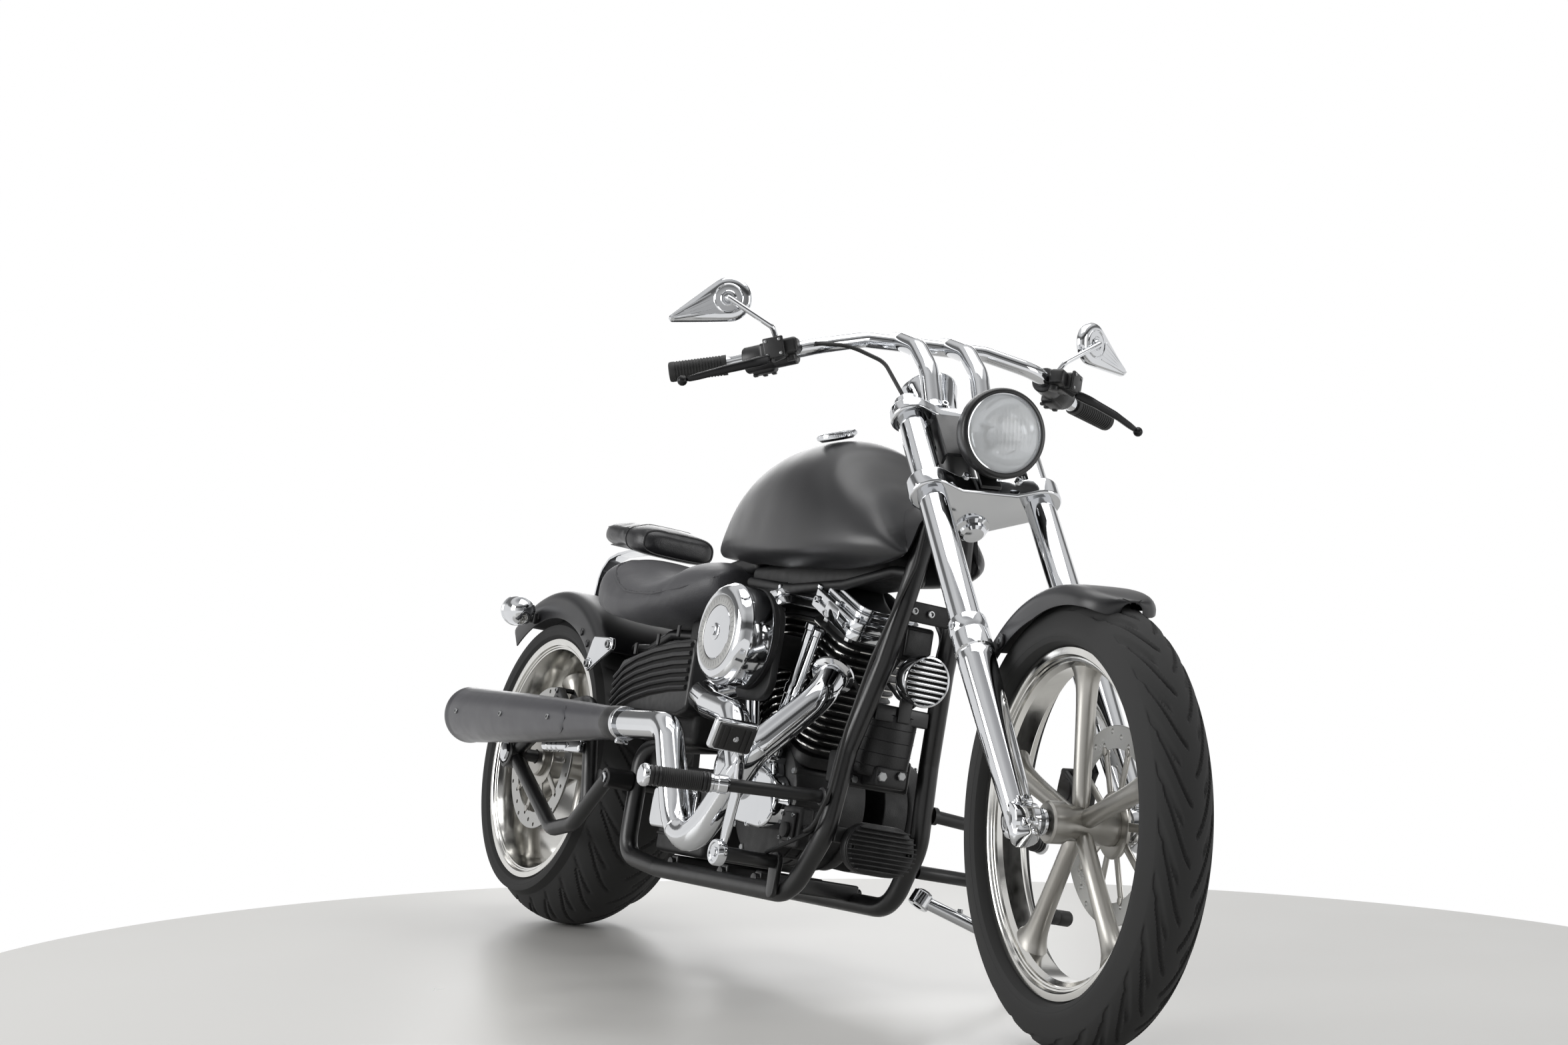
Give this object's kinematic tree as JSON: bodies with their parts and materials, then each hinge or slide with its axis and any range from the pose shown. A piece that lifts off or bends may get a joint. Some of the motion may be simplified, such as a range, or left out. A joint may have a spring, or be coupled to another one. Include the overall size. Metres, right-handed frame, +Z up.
{
  "type": "chopper motorcycle",
  "caption": "Long low chopper with a raked fork, wide rear tyre, V-twin engine and drag bars, parked on its side stand.",
  "frame": {"origin": "on the floor, under the middle of the outline's length and width", "axes": "+X forward along the machine, +Y to its left, +Z up; the machine leans to its left on its side stand and its bars are turned to the right"},
  "size_m": [2.4095, 0.9914, 1.2062],
  "materials": {
    "black_frame_paint": "semi-gloss powder coat",
    "denim_paint": "satin",
    "black_engine_paint": "wrinkle satin",
    "chrome": "polished",
    "cast_wheel": "satin with a polished lip",
    "brushed_steel": "ground",
    "tyre_rubber": "matt",
    "grip_rubber": "matt",
    "seat_leather": "smooth",
    "pad_leather": "smooth",
    "black_plastic": "satin",
    "lamp_glass": "fluted",
    "muffler_coat": "satin ceramic"
  },
  "bodies": {
    "chassis": {"frame": "black_frame_paint", "swingarm": "black_frame_paint", "crankcase": "black_engine_paint", "cylinders": "black_engine_paint", "rocker_covers": "chrome", "cam_cover": "chrome", "air_cleaner": "chrome", "primary_cover": "black_engine_paint", "gearbox": "black_engine_paint", "oil_tank": "black_engine_paint", "exhaust_pipes": "chrome", "muffler": "muffler_coat", "fuel_tank": "denim_paint", "fuel_cap": "chrome", "seat": "seat_leather", "pillion_pad": "pad_leather", "rear_fender": "denim_paint", "fender_brackets": "chrome", "turn_signals": "chrome", "footpegs": "grip_rubber", "foot_controls": "chrome", "horn": "chrome", "voltage_regulator": "black_engine_paint", "drive_belt": "grip_rubber", "rear_brake_caliper": "black_plastic", "frame_cables": "grip_rubber"},
    "steering": {"fork_clamps": "chrome", "fork_tubes": "chrome", "fork_sliders": "chrome", "front_axle": "brushed_steel", "handlebar": "chrome", "hand_controls": "black_plastic", "levers": "black_plastic", "grips": "grip_rubber", "mirrors": "chrome", "headlight": "black_frame_paint", "headlight_lens": "lamp_glass", "speedometer": "chrome", "front_fender": "denim_paint", "front_brake_caliper": "black_plastic", "fork_cables": "grip_rubber"},
    "front_wheel": {"front_tyre": "tyre_rubber", "front_rim": "cast_wheel", "front_brake_disc": "brushed_steel"},
    "rear_wheel": {"rear_tyre": "tyre_rubber", "rear_rim": "cast_wheel", "rear_brake_disc": "brushed_steel", "rear_pulley": "brushed_steel"},
    "side_stand": {"side_stand": "chrome"}
  },
  "joints": [
    {"name": "steering", "type": "hinge", "parent": "chassis", "child": "steering", "pos_m": [0.38371, 0.00333, 0.84708], "axis": [-0.6046, 0.1473, 0.7828], "range_deg": [-17.65, 38.35]},
    {"name": "front_wheel_spin", "type": "hinge", "parent": "steering", "child": "front_wheel", "pos_m": [0.87671, -0.10752, 0.33021], "axis": [0.1432, 0.9868, -0.075], "continuous": true},
    {"name": "rear_wheel_spin", "type": "hinge", "parent": "chassis", "child": "rear_wheel", "pos_m": [-0.88032, -0.09545, 0.32115], "axis": [0.0001, 0.9828, -0.1848], "continuous": true},
    {"name": "side_stand_fold", "type": "hinge", "parent": "chassis", "child": "side_stand", "pos_m": [0.20277, 0.03927, 0.14528], "axis": [0.0457, 0.6071, 0.7933], "range_deg": [0, 100]}
  ]
}
